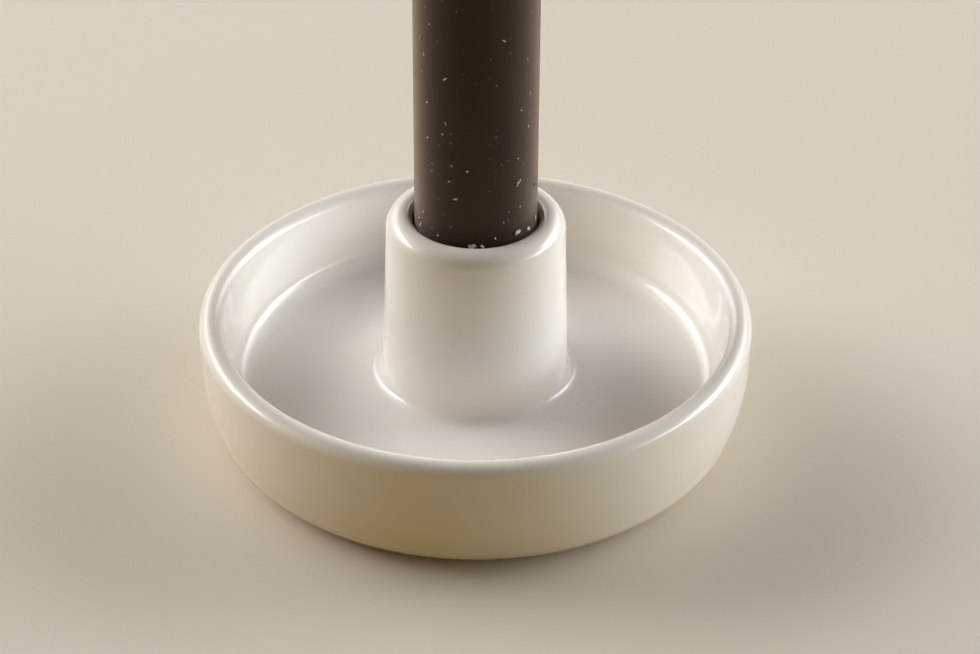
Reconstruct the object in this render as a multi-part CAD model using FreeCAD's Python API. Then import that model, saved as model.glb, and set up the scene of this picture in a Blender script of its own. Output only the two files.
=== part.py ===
import FreeCAD, Part
import math
import os

from FreeCAD import Vector

# A small glazed candle plate: a round dish whose middle rises into a conical candle socket,
# thrown and fired as one piece, with a household candle and its cotton wick standing in it.
# Millimetres. The origin is the centre of the foot ring, on the table, and +Z is up.

# The dish, from the table up to its rounded rim
rim_radius = 49.8
rim_height = 23.8
rim_thickness = 4.1
rim_outer_share = 0.52  # the rim is round all over: its outer rounding takes this much of it
shoulder_height = 12.0  # the wall is upright above this and draws in below it
shoulder_round = 30.0
base_radius = 46.5  # where the drawn-in wall would meet the table, before its rounding
base_round = 7.0

# The well that catches the wax
well_radius = 44.0
well_round = 4.0
floor_edge_height = 8.7
floor_rise = 1.9  # the floor climbs this much from the well's edge to the socket

# The underside, hollowed so that the clay is about as thick there as in the walls
foot_inner_radius = 37.6
foot_edge_round = 0.8
hollow_slope_run = 2.2  # how far the hollow's side leans in as it rises
hollow_depth = 4.6
hollow_round = 2.4
crown_radius = 13.0  # the hollow rises again under the socket
crown_rise = 3.4
crown_slope_run = 3.0
crown_foot_round = 4.0
crown_round = 2.6

# The socket
socket_height = 43.8
socket_top_radius = 15.85
socket_foot_radius = 16.9
socket_foot_round = 2.3
socket_outer_share = 0.6  # of the socket's lip, which is round all over too
bore_floor_thickness = 5.8  # the clay between the bore's floor and the hollow below it
bore_floor_round = 1.4

# The candle, a straight-sided one of the common household size
candle_radius = 10.85
candle_length = 200.0
candle_foot_round = 1.2
candle_tip_height = 9.0
candle_tip_radius = 3.0
candle_shoulder_round = 7.0
candle_tip_round = 1.0
candle_clearance = 0.25  # all round, between the wax and the socket's bore

# The wick, cast into the candle from end to end
wick_radius = 1.1
wick_proud = 11.0
wick_clearance = 0.03
wick_end_round = 0.5

# Every rounding is a run of short flats, as many as keep each this close to the true arc
flat_error = 0.065

bore_radius = candle_radius + candle_clearance
bore_floor_height = hollow_depth + crown_rise + bore_floor_thickness
candle_top_height = bore_floor_height + candle_length

full_turn = 360.0
same_point = 1e-6
axis = Vector(0, 0, 1)
origin = Vector(0, 0, 0)


def corner_points(before, corner, after, radius):
    # the points along the tangent arc that rounds one corner, both ends included
    back = (before - corner).normalize()
    on = (after - corner).normalize()
    half_angle = back.getAngle(on) / 2
    start = corner + back * (radius / math.tan(half_angle))
    centre = corner + (back + on).normalize() * (radius / math.sin(half_angle))
    turn = math.pi - 2 * half_angle
    widest_step = 2 * math.acos(1 - flat_error / radius)
    flats = math.ceil(turn / widest_step)
    points = []
    for index in range(flats + 1):
        angle = turn * index / flats
        points.append(
            centre + (start - centre) * math.cos(angle) - back * (radius * math.sin(angle))
        )
    return points


def rounded_outline(corners):
    # a closed outline in the plane of the axis: each corner is (radius from the axis, height,
    # rounding), and zero leaves the corner sharp
    points = [Vector(radius, 0, height) for radius, height, rounding in corners]
    outline = []
    for index, (radius, height, rounding) in enumerate(corners):
        if rounding == 0:
            outline.append(points[index])
            continue
        before = points[index - 1]
        after = points[(index + 1) % len(points)]
        for point in corner_points(before, points[index], after, rounding):
            if not point.isEqual(outline[-1], same_point):
                outline.append(point)
    return Part.makePolygon(outline + outline[:1])


def lip_corners(outer_foot, outer_top, inner_top, inner_foot, outer_share):
    # the two corners of a wall's top edge, rounded so that the arcs meet with nothing between
    width = outer_top.distanceToPoint(inner_top)
    outer_half_angle = (outer_foot - outer_top).getAngle(inner_top - outer_top) / 2
    inner_half_angle = (inner_foot - inner_top).getAngle(outer_top - inner_top) / 2
    outer_round = width * outer_share * math.tan(outer_half_angle)
    inner_round = width * (1 - outer_share) * math.tan(inner_half_angle)
    return [
        (outer_top.x, outer_top.z, outer_round),
        (inner_top.x, inner_top.z, inner_round),
    ]


def turned(corners):
    # the solid that a potter's wheel or a mould makes of one half section
    solid = Part.Face(rounded_outline(corners)).revolve(origin, axis, full_turn)
    if solid.ShapeType != "Solid":
        solid = Part.Solid(solid.Shells[0])
    return solid


def underside():
    # from the axis out to the foot ring: the crown below the socket, the flat of the hollow,
    # its side and the inner edge of the ring that stands on the table
    return [
        (0, hollow_depth + crown_rise, 0),
        (crown_radius - crown_slope_run, hollow_depth + crown_rise, crown_round),
        (crown_radius, hollow_depth, crown_foot_round),
        (foot_inner_radius - hollow_slope_run, hollow_depth, hollow_round),
        (foot_inner_radius, 0, foot_edge_round),
    ]


def dish_wall():
    # the outer wall, the rounded rim and the well's inner wall
    rim = lip_corners(
        Vector(rim_radius, 0, shoulder_height),
        Vector(rim_radius, 0, rim_height),
        Vector(rim_radius - rim_thickness, 0, rim_height),
        Vector(well_radius, 0, floor_edge_height),
        rim_outer_share,
    )
    return [
        (base_radius, 0, base_round),
        (rim_radius, shoulder_height, shoulder_round),
        *rim,
        (well_radius, floor_edge_height, well_round),
    ]


def socket():
    # the flared foot, the leaning wall, the soft lip and the bore down to its flat floor
    foot_height = floor_edge_height + floor_rise
    lip = lip_corners(
        Vector(socket_foot_radius, 0, foot_height),
        Vector(socket_top_radius, 0, socket_height),
        Vector(bore_radius, 0, socket_height),
        Vector(bore_radius, 0, bore_floor_height),
        socket_outer_share,
    )
    return [
        (socket_foot_radius, foot_height, socket_foot_round),
        *lip,
        (bore_radius, bore_floor_height, bore_floor_round),
        (0, bore_floor_height, 0),
    ]


def plate():
    return turned(underside() + dish_wall() + socket())


def candle():
    # it stands on the bore's floor; the wick's hole runs right through it
    hole_radius = wick_radius + wick_clearance
    return turned([
        (hole_radius, bore_floor_height, 0),
        (candle_radius, bore_floor_height, candle_foot_round),
        (candle_radius, candle_top_height - candle_tip_height, candle_shoulder_round),
        (candle_tip_radius, candle_top_height, candle_tip_round),
        (hole_radius, candle_top_height, 0),
    ])


def wick():
    # flush with the candle's foot and standing proud of its tip
    return turned([
        (0, bore_floor_height, 0),
        (wick_radius, bore_floor_height, 0),
        (wick_radius, candle_top_height + wick_proud, wick_end_round),
        (0, candle_top_height + wick_proud, 0),
    ])


def main():
    os.makedirs("parts", exist_ok=True)
    pieces = {"plate": plate(), "candle": candle(), "wick": wick()}
    for name, shape in pieces.items():
        shape.exportStep("parts/" + name + ".step")
        box = shape.optimalBoundingBox(False)
        print(name, shape.ShapeType, "valid", shape.isValid(), "volume", round(shape.Volume, 1))
        print("  low", round(box.XMin, 2), round(box.YMin, 2), round(box.ZMin, 2))
        print("  high", round(box.XMax, 2), round(box.YMax, 2), round(box.ZMax, 2))
    for first, second in (("plate", "candle"), ("candle", "wick"), ("plate", "wick")):
        shared = pieces[first].common(pieces[second]).Volume
        print(first, second, "share", round(shared, 4), "cubic mm")


main()
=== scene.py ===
import math

import bmesh
import bpy
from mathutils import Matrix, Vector


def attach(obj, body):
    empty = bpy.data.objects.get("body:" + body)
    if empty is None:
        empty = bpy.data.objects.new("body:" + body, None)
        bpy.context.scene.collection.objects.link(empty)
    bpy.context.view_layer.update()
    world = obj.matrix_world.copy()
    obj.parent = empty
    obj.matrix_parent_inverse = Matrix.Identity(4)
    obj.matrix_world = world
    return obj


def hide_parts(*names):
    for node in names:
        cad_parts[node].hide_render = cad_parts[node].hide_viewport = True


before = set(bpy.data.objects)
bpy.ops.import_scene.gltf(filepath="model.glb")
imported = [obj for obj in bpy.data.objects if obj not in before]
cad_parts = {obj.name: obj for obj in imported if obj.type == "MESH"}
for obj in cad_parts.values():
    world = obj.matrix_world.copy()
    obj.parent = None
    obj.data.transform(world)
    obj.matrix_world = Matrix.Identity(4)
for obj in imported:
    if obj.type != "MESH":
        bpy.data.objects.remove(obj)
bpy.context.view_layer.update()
mm = 0.001
mergeReach = 0.002 * mm
print("frame loaded:", sorted(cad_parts))


# hands: selecting by place and shaping in edit mode

def clearHands():
    if bpy.context.object and bpy.context.object.mode != "OBJECT":
        bpy.ops.object.mode_set(mode="OBJECT")
    bpy.ops.object.select_all(action="DESELECT")


def pick(kind, passes):
    # kind is VERT, EDGE or FACE; passes gets one of them and says if it is wanted
    bpy.ops.mesh.select_mode(type=kind)
    bpy.ops.mesh.select_all(action="DESELECT")
    mesh = bmesh.from_edit_mesh(bpy.context.object.data)
    wanted = {"VERT": mesh.verts, "EDGE": mesh.edges, "FACE": mesh.faces}[kind]
    for part in wanted:
        if passes(part):
            part.select_set(True)
    bmesh.update_edit_mesh(bpy.context.object.data)


def onRing(radius, height, slack=0.02):
    # picks the edges that run round the axis at this radius and height, in mm
    def passes(edge):
        for vert in edge.verts:
            if abs(math.hypot(vert.co.x, vert.co.y) - radius * mm) > slack * mm:
                return False
            if abs(vert.co.z - height * mm) > slack * mm:
                return False
        return True
    return passes


def drawRings(name, sides, outline):
    # a circle drawn out ring by ring along the outline, each new ring scaled to its radius
    clearHands()
    radius, height = outline[0][:2]
    bpy.ops.mesh.primitive_circle_add(
        vertices=sides, radius=radius * mm, fill_type="NOTHING", location=(0, 0, height * mm))
    piece = bpy.context.object
    piece.name = name
    piece.data.name = name
    bpy.ops.object.transform_apply(location=True, rotation=True, scale=True)
    bpy.ops.object.mode_set(mode="EDIT")
    bpy.ops.mesh.select_mode(type="EDGE")
    bpy.ops.mesh.select_all(action="SELECT")
    for ring in outline[1:]:
        nextRadius, nextHeight = ring[:2]
        bpy.ops.mesh.extrude_region_move(
            TRANSFORM_OT_translate={"value": (0, 0, (nextHeight - height) * mm)})
        share = nextRadius / radius
        bpy.ops.transform.resize(
            value=(share, share, 1), center_override=(0, 0, nextHeight * mm))
        radius, height = nextRadius, nextHeight
    return piece


def softenRings(outline):
    # bevels each ring that has a reach: how far the rounding runs down both of its sides
    roundProfile = 0.5
    for radius, height, reach, flats in outline:
        if reach:
            pick("EDGE", onRing(radius, height))
            bpy.ops.mesh.bevel(
                offset=reach * mm, offset_type="OFFSET", segments=flats,
                profile=roundProfile, affect="EDGES", clamp_overlap=False)


def closePole(radius, height):
    pick("EDGE", onRing(radius, height))
    bpy.ops.mesh.edge_face_add()
    bpy.ops.mesh.poke()


def finishMesh(piece, sharpAngle=40):
    # doubles merged, normals outwards, smooth but for real corners
    bpy.ops.object.mode_set(mode="EDIT")
    bpy.ops.mesh.select_all(action="SELECT")
    bpy.ops.mesh.remove_doubles(threshold=mergeReach)
    bpy.ops.mesh.normals_make_consistent(inside=False)
    bpy.ops.object.mode_set(mode="OBJECT")
    bpy.ops.object.select_all(action="DESELECT")
    piece.select_set(True)
    bpy.context.view_layer.objects.active = piece
    bpy.ops.object.shade_smooth_by_angle(angle=math.radians(sharpAngle))


# the plate: dish and socket in one

plateShape = {
    "sides": 256,
    "bareBelow": 0.12,  # the foot ring has no glaze up to this height
    # radius, height, bevel reach, bevel flats, from the crown under the socket, out over the
    # foot and the rim, and back up and down the socket
    "outline": [
        (10.0, 8.0, 1.17, 4),
        (13.0, 4.6, 1.8, 4),
        (35.4, 4.6, 1.5, 5),
        (37.6, 0.0, 0.5, 3),
        (46.5, 0.0, 5.33, 12),
        (49.8, 12.0, 4.05, 6),
        (49.8, 23.8, 2.12, 14),
        (45.7, 23.8, 1.96, 14),
        (44.0, 8.7, 3.83, 14),
        (16.9, 10.6, 2.08, 12),
        (15.85, 43.8, 2.84, 14),
        (11.1, 43.8, 1.89, 10),
        (11.1, 13.8, 1.4, 4),
    ],
}


def makePlate():
    outline = plateShape["outline"]
    piece = drawRings("glazedPlate", plateShape["sides"], outline)
    closePole(*outline[0][:2])
    closePole(*outline[-1][:2])
    softenRings(outline)
    finishMesh(piece)
    return piece


# the candle

candleShape = {
    "sides": 128,
    "outline": [
        (1.14, 13.8, 0, 0),
        (10.85, 13.8, 1.2, 6),
        (10.85, 204.6, 2.4, 10),
        (3.1, 213.1, 0.8, 6),
        (1.9, 213.3, 0.4, 4),
        (1.14, 213.8, 0, 0),
    ],
}


def makeCandle():
    outline = candleShape["outline"]
    piece = drawRings("brownCandle", candleShape["sides"], outline)
    # the hole that the wick fills, from the foot right up to the tip
    first, last = outline[0], outline[-1]
    foot = onRing(first[0], first[1])
    tip = onRing(last[0], last[1])
    pick("EDGE", lambda edge: foot(edge) or tip(edge))
    bpy.ops.mesh.bridge_edge_loops()
    softenRings(outline)
    finishMesh(piece)
    return piece


# the wick: three strands plaited flat

wickShape = {
    "strands": 3,
    "foot": 14.12,
    "top": 224.42,
    "pitch": 5.0,
    "swing": 0.66,
    "lift": 0.5,
    "thick": 0.315,
    "pointsPerPitch": 8,
    "splineOrder": 3,
    "stepsAlong": 2,
    "stepsRound": 2,
}


def makeStrand(number):
    clearHands()
    bpy.ops.curve.primitive_nurbs_path_add()
    strand = bpy.context.object
    strand.name = "wickStrand" + str(number)
    points = strand.data.splines[0].points
    length = wickShape["top"] - wickShape["foot"]
    count = round(length / wickShape["pitch"] * wickShape["pointsPerPitch"]) + 1
    points.add(count - len(points))
    for index, point in enumerate(points):
        up = index / (count - 1)
        turn = 2 * math.pi * (up * length / wickShape["pitch"] + number / wickShape["strands"])
        point.co = (
            wickShape["swing"] * mm * math.sin(turn),
            wickShape["lift"] * mm * math.sin(2 * turn),
            (wickShape["foot"] + up * length) * mm,
            1.0,
        )
    spline = strand.data.splines[0]
    spline.order_u = wickShape["splineOrder"]
    spline.use_endpoint_u = True
    strand.data.resolution_u = wickShape["stepsAlong"]
    strand.data.bevel_depth = wickShape["thick"] * mm
    strand.data.bevel_resolution = wickShape["stepsRound"]
    strand.data.use_fill_caps = True
    bpy.ops.object.convert(target="MESH")
    return bpy.context.object


def makeWick():
    strands = [makeStrand(number) for number in range(wickShape["strands"])]
    clearHands()
    for strand in strands:
        strand.select_set(True)
    bpy.context.view_layer.objects.active = strands[0]
    bpy.ops.object.join()
    piece = bpy.context.object
    piece.name = "plaitedWick"
    piece.data.name = "plaitedWick"
    finishMesh(piece)
    return piece


# wax crumbs and flakes stuck to the candle, most of them near the socket

crumbShape = {
    "standOff": 0.08,
    "rough": 0.3,
    "even": 0.2,
    "outward": 0.3,
    "flatness": 0.6,
    "sharpAngle": 30,
    # azimuth, height, length, width, lean in degrees
    "spots": [
        (-47.7, 54.5, 1.3, 0.5, 42), (-19.9, 51.4, 1.05, 0.42, -12),
        (-44.9, 49.5, 0.5, 0.32, 30), (-18.0, 44.6, 1.45, 0.5, -8),
        (-32.7, 43.9, 1.1, 0.6, -50), (-47.6, 44.6, 1.15, 0.75, 62),
        (-83.4, 43.2, 0.9, 0.5, -35), (-92.8, 43.3, 1.3, 0.9, 70),
        (-97.6, 58.2, 0.42, 0.36, 20), (-112.1, 58.9, 0.4, 0.3, 0),
        (-114.5, 55.7, 0.4, 0.26, 60), (-108.8, 52.4, 0.8, 0.32, 70),
        (-146.5, 47.3, 0.95, 0.26, 34), (-165.1, 44.6, 0.4, 0.3, 0),
        (-151.3, 44.3, 0.85, 0.5, -30), (-155.0, 45.2, 0.34, 0.26, 50),
        (-126.6, 44.2, 0.5, 0.32, 15), (-71.6, 44.6, 0.45, 0.3, -20),
        (-63.6, 47.5, 0.3, 0.22, 75), (-143.8, 78.3, 0.5, 0.34, -20),
        (-147.1, 74.9, 0.4, 0.26, 5), (-118.5, 75.3, 0.75, 0.3, 48),
        (-139.5, 69.6, 0.55, 0.24, 35), (-139.1, 62.8, 0.6, 0.24, 22),
        (-121.3, 64.6, 0.4, 0.22, 10), (-118.0, 66.8, 0.6, 0.2, -20),
        (-65.0, 82.7, 0.7, 0.18, -48), (-37.7, 77.6, 0.35, 0.22, 0),
        (-32.9, 70.7, 0.55, 0.22, 8), (-45.4, 68.5, 0.35, 0.26, -30),
        (-35.2, 64.6, 0.45, 0.28, -5), (-48.6, 59.3, 0.35, 0.24, 40),
        (-135.4, 84.6, 0.4, 0.24, 15), (-148.8, 81.1, 0.7, 0.26, 0),
        (152.0, 61.0, 0.6, 0.24, 30), (118.0, 48.5, 0.7, 0.4, -40),
        (74.0, 45.2, 0.8, 0.5, 55), (33.0, 46.0, 0.7, 0.36, 20),
        (60.0, 70.0, 0.45, 0.24, -15), (96.0, 96.0, 0.5, 0.22, 35),
        (10.0, 58.0, 0.5, 0.3, -25), (-80.0, 118.0, 0.5, 0.24, 12),
    ],
}


def makeCrumb(number, around, height, long, wide, lean):
    clearHands()
    bpy.ops.mesh.primitive_ico_sphere_add(subdivisions=2, radius=mm / 2)
    crumb = bpy.context.object
    bpy.ops.object.mode_set(mode="EDIT")
    bpy.ops.mesh.select_all(action="SELECT")
    bpy.ops.transform.vertex_random(
        offset=crumbShape["rough"] * mm, uniform=crumbShape["even"],
        normal=crumbShape["outward"], seed=number)
    bpy.ops.transform.resize(
        value=(wide * crumbShape["flatness"], wide, long), center_override=(0, 0, 0))
    bpy.ops.transform.rotate(
        value=math.radians(lean), orient_axis="X", center_override=(0, 0, 0))
    bpy.ops.transform.rotate(
        value=math.radians(-around), orient_axis="Z", center_override=(0, 0, 0))
    reach = candleShape["outline"][1][0] + crumbShape["standOff"]
    turn = math.radians(around)
    bpy.ops.transform.translate(
        value=(reach * mm * math.cos(turn), reach * mm * math.sin(turn), height * mm))
    bpy.ops.object.mode_set(mode="OBJECT")
    return crumb


def makeCrumbs():
    crumbs = [makeCrumb(number, *spot) for number, spot in enumerate(crumbShape["spots"])]
    clearHands()
    for crumb in crumbs:
        crumb.select_set(True)
    bpy.context.view_layer.objects.active = crumbs[0]
    bpy.ops.object.join()
    piece = bpy.context.object
    piece.name = "waxCrumbs"
    piece.data.name = "waxCrumbs"
    finishMesh(piece, crumbShape["sharpAngle"])
    return piece


plate = makePlate()
print("plate:", len(plate.data.polygons), "faces")
candle = makeCandle()
print("candle:", len(candle.data.polygons), "faces")
wick = makeWick()
print("wick:", len(wick.data.polygons), "faces")
crumbs = makeCrumbs()
print("crumbs:", len(crumbs.data.polygons), "faces")


# finishes

def groupTree(name, inputs, outputs):
    tree = bpy.data.node_groups.new(name, "ShaderNodeTree")
    for label, value in inputs.items():
        socket = tree.interface.new_socket(label, in_out="INPUT", socket_type="NodeSocketFloat")
        socket.default_value = value
    for label in outputs:
        tree.interface.new_socket(label, in_out="OUTPUT", socket_type="NodeSocketFloat")
    return tree, tree.nodes.new("NodeGroupInput"), tree.nodes.new("NodeGroupOutput")


def mathNode(tree, operation, first, second=None, third=None, clamp=False):
    # a Math node; each value is a number or a socket
    node = tree.nodes.new("ShaderNodeMath")
    node.operation = operation
    node.use_clamp = clamp
    for index, value in enumerate((first, second, third)):
        if value is None:
            continue
        if isinstance(value, (int, float)):
            node.inputs[index].default_value = value
        else:
            tree.links.new(value, node.inputs[index])
    return node.outputs[0]


def makeDriftGroup():
    # a slow cloudy change over the surface, from 0 to 1
    middle, detail = 0.5, 3
    tree, given, out = groupTree("slowDrift", {"Scale": 40, "Contrast": 1}, ["Value"])
    place = tree.nodes.new("ShaderNodeTexCoord")
    noise = tree.nodes.new("ShaderNodeTexNoise")
    noise.inputs["Detail"].default_value = detail
    tree.links.new(place.outputs["Object"], noise.inputs["Vector"])
    tree.links.new(given.outputs["Scale"], noise.inputs["Scale"])
    offset = mathNode(tree, "SUBTRACT", noise.outputs["Fac"], middle)
    spread = mathNode(tree, "MULTIPLY", offset, given.outputs["Contrast"])
    tree.links.new(mathNode(tree, "ADD", spread, middle, clamp=True), out.inputs["Value"])
    return tree


def makeSpeckGroup():
    # round specks in a few of the cells of a Voronoi pattern
    tree, given, out = groupTree(
        "sparseSpecks", {"Scale": 500, "Size": 0.2, "Amount": 0.05}, ["Mask"])
    place = tree.nodes.new("ShaderNodeTexCoord")
    cells = tree.nodes.new("ShaderNodeTexVoronoi")
    tree.links.new(place.outputs["Object"], cells.inputs["Vector"])
    tree.links.new(given.outputs["Scale"], cells.inputs["Scale"])
    parts = tree.nodes.new("ShaderNodeSeparateColor")
    tree.links.new(cells.outputs["Color"], parts.inputs["Color"])
    chosen = mathNode(tree, "LESS_THAN", parts.outputs["Red"], given.outputs["Amount"])
    size = mathNode(tree, "MULTIPLY", parts.outputs["Green"], given.outputs["Size"])
    share = mathNode(tree, "DIVIDE", cells.outputs["Distance"], size)
    near = mathNode(tree, "SUBTRACT", 1, share, clamp=True)
    strength = mathNode(tree, "SQRT", near)
    tree.links.new(mathNode(tree, "MULTIPLY", chosen, strength), out.inputs["Mask"])
    return tree


def makeSkinGroup():
    # the height of a soft, slightly uneven skin: broad swells with a fine ripple on them
    detail = 1
    tree, given, out = groupTree(
        "softSkin", {"Broad": 90, "Fine": 900, "Fine Share": 0.1, "Tall": 1}, ["Height"])
    place = tree.nodes.new("ShaderNodeTexCoord")
    squeeze = tree.nodes.new("ShaderNodeVectorMath")
    squeeze.operation = "MULTIPLY"
    both = tree.nodes.new("ShaderNodeCombineXYZ")
    both.inputs["X"].default_value = 1
    both.inputs["Y"].default_value = 1
    tree.links.new(given.outputs["Tall"], both.inputs["Z"])
    tree.links.new(place.outputs["Object"], squeeze.inputs[0])
    tree.links.new(both.outputs[0], squeeze.inputs[1])
    layers = []
    for label in ("Broad", "Fine"):
        noise = tree.nodes.new("ShaderNodeTexNoise")
        noise.inputs["Detail"].default_value = detail
        tree.links.new(squeeze.outputs[0], noise.inputs["Vector"])
        tree.links.new(given.outputs[label], noise.inputs["Scale"])
        layers.append(noise.outputs["Fac"])
    fine = mathNode(tree, "MULTIPLY", layers[1], given.outputs["Fine Share"])
    tree.links.new(mathNode(tree, "ADD", layers[0], fine), out.inputs["Height"])
    return tree


def hypotenuse(tree, first, second):
    squares = [mathNode(tree, "MULTIPLY", side, side) for side in (first, second)]
    return mathNode(tree, "SQRT", mathNode(tree, "ADD", *squares))


def makeBandGroup():
    # a soft band round the axis, at a radius and height given in mm, with a rounded peak
    peakRound = 0.2
    tree, given, out = groupTree(
        "ringBand", {"Radius": 47.4, "Height": 23.8, "Reach": 3}, ["Mask"])
    place = tree.nodes.new("ShaderNodeTexCoord")
    axes = tree.nodes.new("ShaderNodeSeparateXYZ")
    tree.links.new(place.outputs["Object"], axes.inputs[0])
    across = hypotenuse(tree, axes.outputs["X"], axes.outputs["Y"])
    radius = mathNode(tree, "DIVIDE", across, mm)
    height = mathNode(tree, "DIVIDE", axes.outputs["Z"], mm)
    away = mathNode(tree, "SUBTRACT", radius, given.outputs["Radius"])
    above = mathNode(tree, "SUBTRACT", height, given.outputs["Height"])
    share = mathNode(tree, "DIVIDE", hypotenuse(tree, away, above), given.outputs["Reach"])
    near = mathNode(tree, "SUBTRACT", 1, share, clamp=True)
    tree.links.new(mathNode(tree, "SMOOTH_MIN", near, 1, peakRound), out.inputs["Mask"])
    return tree


driftGroup = makeDriftGroup()
speckGroup = makeSpeckGroup()
skinGroup = makeSkinGroup()
bandGroup = makeBandGroup()


def newMaterial(name):
    material = bpy.data.materials.new(name)
    material.use_nodes = True
    shader = material.node_tree.nodes["Principled BSDF"]
    return material, material.node_tree, shader


def useGroup(tree, group, values):
    node = tree.nodes.new("ShaderNodeGroup")
    node.node_tree = group
    for label, value in values.items():
        node.inputs[label].default_value = value
    return node.outputs[0]


def mixColour(tree, mask, below, above, most=1.0):
    # below and above are colours or sockets; the mask is scaled so that it reaches most
    node = tree.nodes.new("ShaderNodeMix")
    node.data_type = "RGBA"
    tree.links.new(mathNode(tree, "MULTIPLY", mask, most), node.inputs["Factor"])
    for label, value in (("A", below), ("B", above)):
        socket = [one for one in node.inputs if one.name == label and one.type == "RGBA"][0]
        if isinstance(value, tuple):
            socket.default_value = (*value, 1)
        else:
            tree.links.new(value, socket)
    return [one for one in node.outputs if one.type == "RGBA"][0]


def setRoughness(tree, shader, drift, low, high):
    # the roughness follows the drift from its low to its high end
    rough = mathNode(tree, "MULTIPLY_ADD", drift, high - low, low)
    tree.links.new(rough, shader.inputs["Roughness"])


def addSkin(tree, shader, values, depth):
    # depth is in mm
    bump = tree.nodes.new("ShaderNodeBump")
    bump.inputs["Strength"].default_value = 1
    bump.inputs["Distance"].default_value = depth * mm
    tree.links.new(useGroup(tree, skinGroup, values), bump.inputs["Height"])
    tree.links.new(bump.outputs["Normal"], shader.inputs["Normal"])


glazeLook = {
    "cream": (0.872, 0.843, 0.785),
    "deepCream": (0.847, 0.806, 0.735),
    "cloud": {"Scale": 28, "Contrast": 1.6},
    # it runs thin over the rim and the socket's lip, and the clay shows through; the same band
    # also darkens the crests of the rim and the lip as painted shade
    "thinGlazeShadeEdge": (0.76, 0.665, 0.535),
    "thinGlazeShadeMost": 0.75,
    "rim": {"Radius": 47.7, "Height": 24.5, "Reach": 2.0},
    "lip": {"Radius": 13.2, "Height": 44.3, "Reach": 2.0},
    "speck": (0.20, 0.15, 0.10),
    "speckMost": 0.35,
    "specks": {"Scale": 420, "Size": 0.2, "Amount": 0.01},
    "rough": (0.03, 0.06),
    "roughDrift": {"Scale": 70, "Contrast": 1.2},
    "ior": 1.45,
    "skin": {"Broad": 110, "Fine": 1100, "Fine Share": 0.04},
    "skinDepth": 0.06,
}


def makeGlaze():
    material, tree, shader = newMaterial("creamGlaze")
    cloud = useGroup(tree, driftGroup, glazeLook["cloud"])
    colour = mixColour(tree, cloud, glazeLook["cream"], glazeLook["deepCream"])
    rim = useGroup(tree, bandGroup, glazeLook["rim"])
    lip = useGroup(tree, bandGroup, glazeLook["lip"])
    # the rim and lip bands: thinner glaze, and painted shade on those crests
    thinGlazeShadeMask = mathNode(tree, "MAXIMUM", rim, lip)
    colour = mixColour(tree, thinGlazeShadeMask, colour, glazeLook["thinGlazeShadeEdge"], glazeLook["thinGlazeShadeMost"])
    specks = useGroup(tree, speckGroup, glazeLook["specks"])
    colour = mixColour(tree, specks, colour, glazeLook["speck"], glazeLook["speckMost"])
    tree.links.new(colour, shader.inputs["Base Color"])
    drift = useGroup(tree, driftGroup, glazeLook["roughDrift"])
    setRoughness(tree, shader, drift, *glazeLook["rough"])
    shader.inputs["IOR"].default_value = glazeLook["ior"]
    addSkin(tree, shader, glazeLook["skin"], glazeLook["skinDepth"])
    return material


waxLook = {
    "brown": (0.006, 0.0022, 0.0008),
    "bloom": (0.016, 0.0075, 0.0035),
    "bloomMost": 0.6,
    "cloud": {"Scale": 60, "Contrast": 1.5},
    "fleck": (0.42, 0.38, 0.34),
    "fleckMost": 0.3,
    "flecks": {"Scale": 900, "Size": 0.3, "Amount": 0.28},
    "rough": (0.34, 0.46),
    "roughDrift": {"Scale": 160, "Contrast": 1.4},
    "ior": 1.4,
    "gloss": (0.95, 0.60, 0.38),
    "dust": (1.0, 0.76, 0.59),
    "dustWeight": 0.72,
    "dustRough": 0.4,
    "skin": {"Broad": 60, "Fine": 1500, "Fine Share": 0.06, "Tall": 0.35},
    "skinDepth": 0.10,
}


def makeWax():
    material, tree, shader = newMaterial("brownWax")
    cloud = useGroup(tree, driftGroup, waxLook["cloud"])
    colour = mixColour(tree, cloud, waxLook["brown"], waxLook["bloom"], waxLook["bloomMost"])
    flecks = useGroup(tree, speckGroup, waxLook["flecks"])
    colour = mixColour(tree, flecks, colour, waxLook["fleck"], waxLook["fleckMost"])
    tree.links.new(colour, shader.inputs["Base Color"])
    drift = useGroup(tree, driftGroup, waxLook["roughDrift"])
    setRoughness(tree, shader, drift, *waxLook["rough"])
    shader.inputs["IOR"].default_value = waxLook["ior"]
    shader.inputs["Specular Tint"].default_value = (*waxLook["gloss"], 1)
    shader.inputs["Sheen Weight"].default_value = waxLook["dustWeight"]
    shader.inputs["Sheen Roughness"].default_value = waxLook["dustRough"]
    shader.inputs["Sheen Tint"].default_value = (*waxLook["dust"], 1)
    addSkin(tree, shader, waxLook["skin"], waxLook["skinDepth"])
    return material


clayLook = {
    "buff": (0.74, 0.68, 0.58),
    "sand": (0.52, 0.44, 0.34),
    "sandMost": 0.5,
    "cloud": {"Scale": 240, "Contrast": 1.6},
    "grains": {"Scale": 1400, "Size": 0.4, "Amount": 0.25},
    "grainMost": 0.6,
    "rough": (0.78, 0.92),
    "skin": {"Broad": 1800, "Fine": 5200, "Fine Share": 0.5},
    "skinDepth": 0.06,
}


def makeClay():
    material, tree, shader = newMaterial("bareClay")
    cloud = useGroup(tree, driftGroup, clayLook["cloud"])
    colour = mixColour(tree, cloud, clayLook["buff"], clayLook["sand"], clayLook["sandMost"])
    grains = useGroup(tree, speckGroup, clayLook["grains"])
    colour = mixColour(tree, grains, colour, clayLook["sand"], clayLook["grainMost"])
    tree.links.new(colour, shader.inputs["Base Color"])
    setRoughness(tree, shader, cloud, *clayLook["rough"])
    addSkin(tree, shader, clayLook["skin"], clayLook["skinDepth"])
    return material
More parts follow.
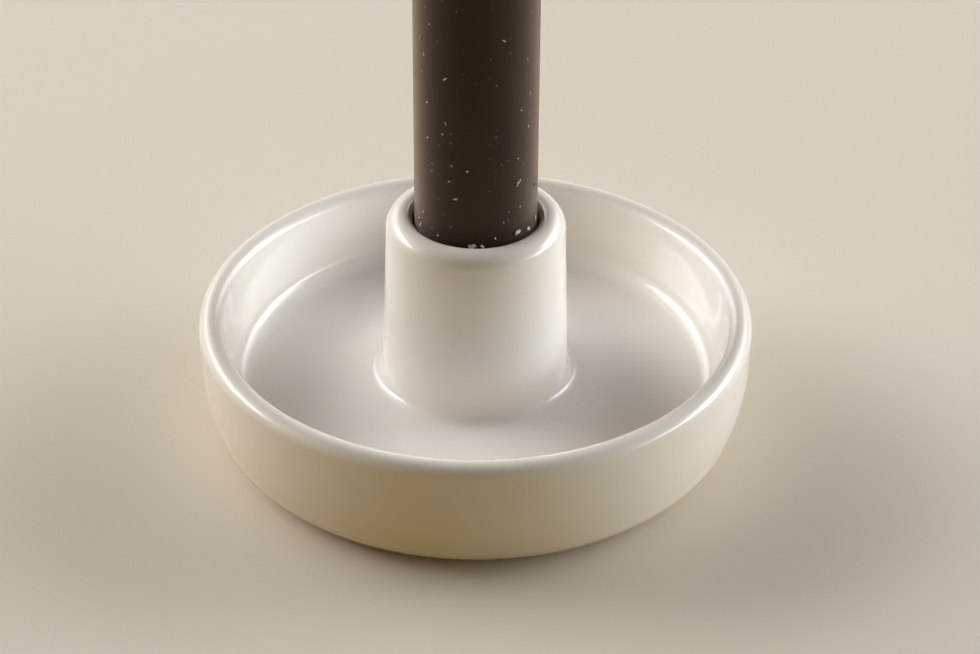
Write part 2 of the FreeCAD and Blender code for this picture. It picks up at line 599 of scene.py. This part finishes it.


# the wick's cotton and the crumbs of wax, which are two colours in a cloud; the crumbs' dark
# colour is partly the brown wax's own tone and partly painted shade for crumbs that sit in
# shade, spread at random through the cloud
cottonLook = {
    "light": (0.78, 0.75, 0.68),
    "dark": (0.55, 0.50, 0.42),
    "darkMost": 0.6,
    "cloud": {"Scale": 900, "Contrast": 1.8},
    "rough": (0.8, 0.95),
    "skin": {"Broad": 2600, "Fine": 7000, "Fine Share": 0.5, "Tall": 0.3},
    "skinDepth": 0.04,
}
crumbLook = {
    "light": (0.78, 0.74, 0.68),
    # partly the wax's own tone and partly painted shade for crumbs in shade near the socket
    "dark": (0.30, 0.26, 0.22),
    "darkMost": 0.9,
    "cloud": {"Scale": 110, "Contrast": 1.8},
    "rough": (0.35, 0.6),
    "skin": {"Broad": 3000, "Fine": 9000, "Fine Share": 0.3},
    "skinDepth": 0.05,
}


def makeClouded(name, look):
    material, tree, shader = newMaterial(name)
    cloud = useGroup(tree, driftGroup, look["cloud"])
    colour = mixColour(tree, cloud, look["light"], look["dark"], look["darkMost"])
    tree.links.new(colour, shader.inputs["Base Color"])
    setRoughness(tree, shader, cloud, *look["rough"])
    addSkin(tree, shader, look["skin"], look["skinDepth"])
    return material


def dress(piece, material):
    piece.data.materials.clear()
    piece.data.materials.append(material)


def bareFoot(piece, material):
    # the ring that stood on the kiln shelf
    clearHands()
    bpy.context.view_layer.objects.active = piece
    piece.data.materials.append(material)
    bpy.ops.object.mode_set(mode="EDIT")
    low = plateShape["bareBelow"] * mm
    pick("FACE", lambda face: max(vert.co.z for vert in face.verts) < low)
    piece.active_material_index = len(piece.data.materials) - 1
    bpy.ops.object.material_slot_assign()
    bpy.ops.object.mode_set(mode="OBJECT")


dress(plate, makeGlaze())
bareFoot(plate, makeClay())
dress(candle, makeWax())
dress(wick, makeClouded("wickCotton", cottonLook))
dress(crumbs, makeClouded("crumbWax", crumbLook))
print("finishes done")

for piece, node, body, slot in (
        (plate, "plate", "plate", "glaze"),
        (candle, "candle", "candle", "wax"),
        (wick, "wick", "candle", "cotton")):
    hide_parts(node)
    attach(piece, body)
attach(crumbs, "candle")


# table, lamps and camera

tableLook = {
    "plaster": (0.72, 0.655, 0.545),
    "bounce": (0.53, 0.39, 0.155),
    "rough": 0.75,
    "reach": 1.3,
    "sides": 128,
}


def seenDirectly(tree):
    # 1 for what the camera sees, straight or in a glossy or clear surface, and 0 for light
    rays = tree.nodes.new("ShaderNodeLightPath")
    mirrored = mathNode(
        tree, "MAXIMUM", rays.outputs["Is Glossy Ray"], rays.outputs["Is Transmission Ray"])
    return mathNode(tree, "MAXIMUM", rays.outputs["Is Camera Ray"], mirrored)


def makeTable():
    clearHands()
    bpy.ops.mesh.primitive_circle_add(
        vertices=tableLook["sides"], radius=tableLook["reach"], fill_type="NGON",
        location=(0, 0, 0))
    table = bpy.context.object
    table.name = "tableTop"
    material, tree, shader = newMaterial("palePlaster")
    colour = mixColour(tree, seenDirectly(tree), tableLook["bounce"], tableLook["plaster"])
    tree.links.new(colour, shader.inputs["Base Color"])
    shader.inputs["Roughness"].default_value = tableLook["rough"]
    dress(table, material)
    return table


# two windows, each a bright pane with broad soft light round it, all fading out at the edges;
# the lamps hang equally far from the plate and face a point just above the table; degrees,
# metres and watts
lampAway = 4.8
lampAimHeight = 20 * mm
lampSet = {
    "leftPane": {"azimuth": 155, "elevation": 28, "wide": 4.2, "tall": 1.28,
                 "power": 102, "fade": 0.25, "tint": (0.89, 0.95, 1.0)},
    "leftWall": {"azimuth": 152, "elevation": 30, "wide": 8.8, "tall": 6,
                 "power": 530, "fade": 1.0, "tint": (1.0, 0.97, 0.94)},
    "leftMid": {"azimuth": 160, "elevation": 22, "wide": 5, "tall": 3.4,
                "power": 185, "fade": 1.0, "tint": (0.96, 0.95, 1.0)},
    "leftBack": {"azimuth": 118, "elevation": 22, "wide": 4.4, "tall": 3.6,
                 "power": 150, "fade": 1.0, "tint": (0.93, 0.97, 1.0)},
    "leftSide": {"azimuth": 188, "elevation": 20, "wide": 5.6, "tall": 4,
                 "power": 70, "fade": 1.0, "tint": (1.0, 0.55, 0.20)},
    "rightPane": {"azimuth": 22, "elevation": 25, "wide": 3.28, "tall": 1.4,
                  "power": 80, "fade": 0.25, "tint": (0.93, 0.96, 1.0)},
    "rightLow": {"azimuth": 4, "elevation": 11, "wide": 8, "tall": 2,
                 "power": 630, "fade": 1.0, "tint": (0.96, 0.99, 1.0)},
    "rightMid": {"azimuth": 20, "elevation": 22, "wide": 5, "tall": 3.4,
                 "power": 205, "fade": 1.0, "tint": (0.80, 0.84, 1.0)},
    "rightBack": {"azimuth": 48, "elevation": 22, "wide": 4.4, "tall": 3.6,
                  "power": 215, "fade": 1.0, "tint": (1.0, 0.98, 0.92)},
}


def fadeEdges(data, fade):
    # full strength in the middle of the lamp, falling to nothing at its edges; Parametric
    # runs from 0 to 1 both ways
    middle = 0.5
    data.use_nodes = True
    tree = data.node_tree
    across = tree.nodes.new("ShaderNodeSeparateXYZ")
    place = tree.nodes.new("ShaderNodeNewGeometry")
    tree.links.new(place.outputs["Parametric"], across.inputs[0])
    shares = []
    for axis in ("X", "Y"):
        offset = mathNode(tree, "ABSOLUTE", mathNode(
            tree, "SUBTRACT", across.outputs[axis], middle))
        span = tree.nodes.new("ShaderNodeMapRange")
        span.interpolation_type = "SMOOTHSTEP"
        tree.links.new(offset, span.inputs["Value"])
        span.inputs["From Min"].default_value = middle * (1 - fade)
        span.inputs["From Max"].default_value = middle
        span.inputs["To Min"].default_value = 1
        span.inputs["To Max"].default_value = 0
        shares.append(span.outputs["Result"])
    strength = mathNode(tree, "MULTIPLY", shares[0], shares[1])
    tree.links.new(strength, tree.nodes["Emission"].inputs["Strength"])


def hangLamps():
    for name, lamp in lampSet.items():
        data = bpy.data.lights.new(name, "AREA")
        data.shape = "RECTANGLE"
        data.size = lamp["wide"]
        data.size_y = lamp["tall"]
        data.energy = lamp["power"]
        data.color = lamp["tint"]
        fadeEdges(data, lamp["fade"])
        shown = bpy.data.objects.new(name, data)
        bpy.context.scene.collection.objects.link(shown)
        turn, rise = math.radians(lamp["azimuth"]), math.radians(lamp["elevation"])
        aim = Vector((
            math.cos(turn) * math.cos(rise), math.sin(turn) * math.cos(rise), math.sin(rise)))
        shown.location = aim * lampAway + Vector((0, 0, lampAimHeight))
        shown.rotation_euler = aim.to_track_quat("Z", "Y").to_euler()


roomLook = {
    "fill": (1.0, 0.64, 0.30),
    "fillStrength": 0.01,
    "backdrop": (0.66, 0.605, 0.53),
}


def makeRoom():
    world = bpy.data.worlds.new("room")
    bpy.context.scene.world = world
    world.use_nodes = True
    tree = world.node_tree
    fill = tree.nodes["Background"]
    fill.inputs["Color"].default_value = (*roomLook["fill"], 1)
    fill.inputs["Strength"].default_value = roomLook["fillStrength"]
    seen = tree.nodes.new("ShaderNodeBackground")
    seen.inputs["Color"].default_value = (*roomLook["backdrop"], 1)
    either = tree.nodes.new("ShaderNodeMixShader")
    tree.links.new(seenDirectly(tree), either.inputs[0])
    tree.links.new(fill.outputs[0], either.inputs[1])
    tree.links.new(seen.outputs[0], either.inputs[2])
    tree.links.new(either.outputs[0], tree.nodes["World Output"].inputs["Surface"])


# solved from the rims in the photo: millimetres of lens, metres and degrees
cameraPlace = {
    "lens": 102.86,
    "sensor": 36,
    "at": (0.00264, -0.42427, 0.29765),
    "tilt": 56.75,
    "roll": 0.4,
}


def placeCamera():
    data = bpy.data.cameras.new("camera")
    data.lens = cameraPlace["lens"]
    data.sensor_width = cameraPlace["sensor"]
    camera = bpy.data.objects.new("camera", data)
    bpy.context.scene.collection.objects.link(camera)
    camera.location = cameraPlace["at"]
    camera.rotation_euler = (math.radians(cameraPlace["tilt"]), 0, 0)
    camera.rotation_euler.rotate_axis("Z", math.radians(cameraPlace["roll"]))
    bpy.context.scene.camera = camera


makeTable()
hangLamps()
makeRoom()
placeCamera()
bpy.context.scene.view_settings.view_transform = "Standard"
print("table, lamps and camera set")
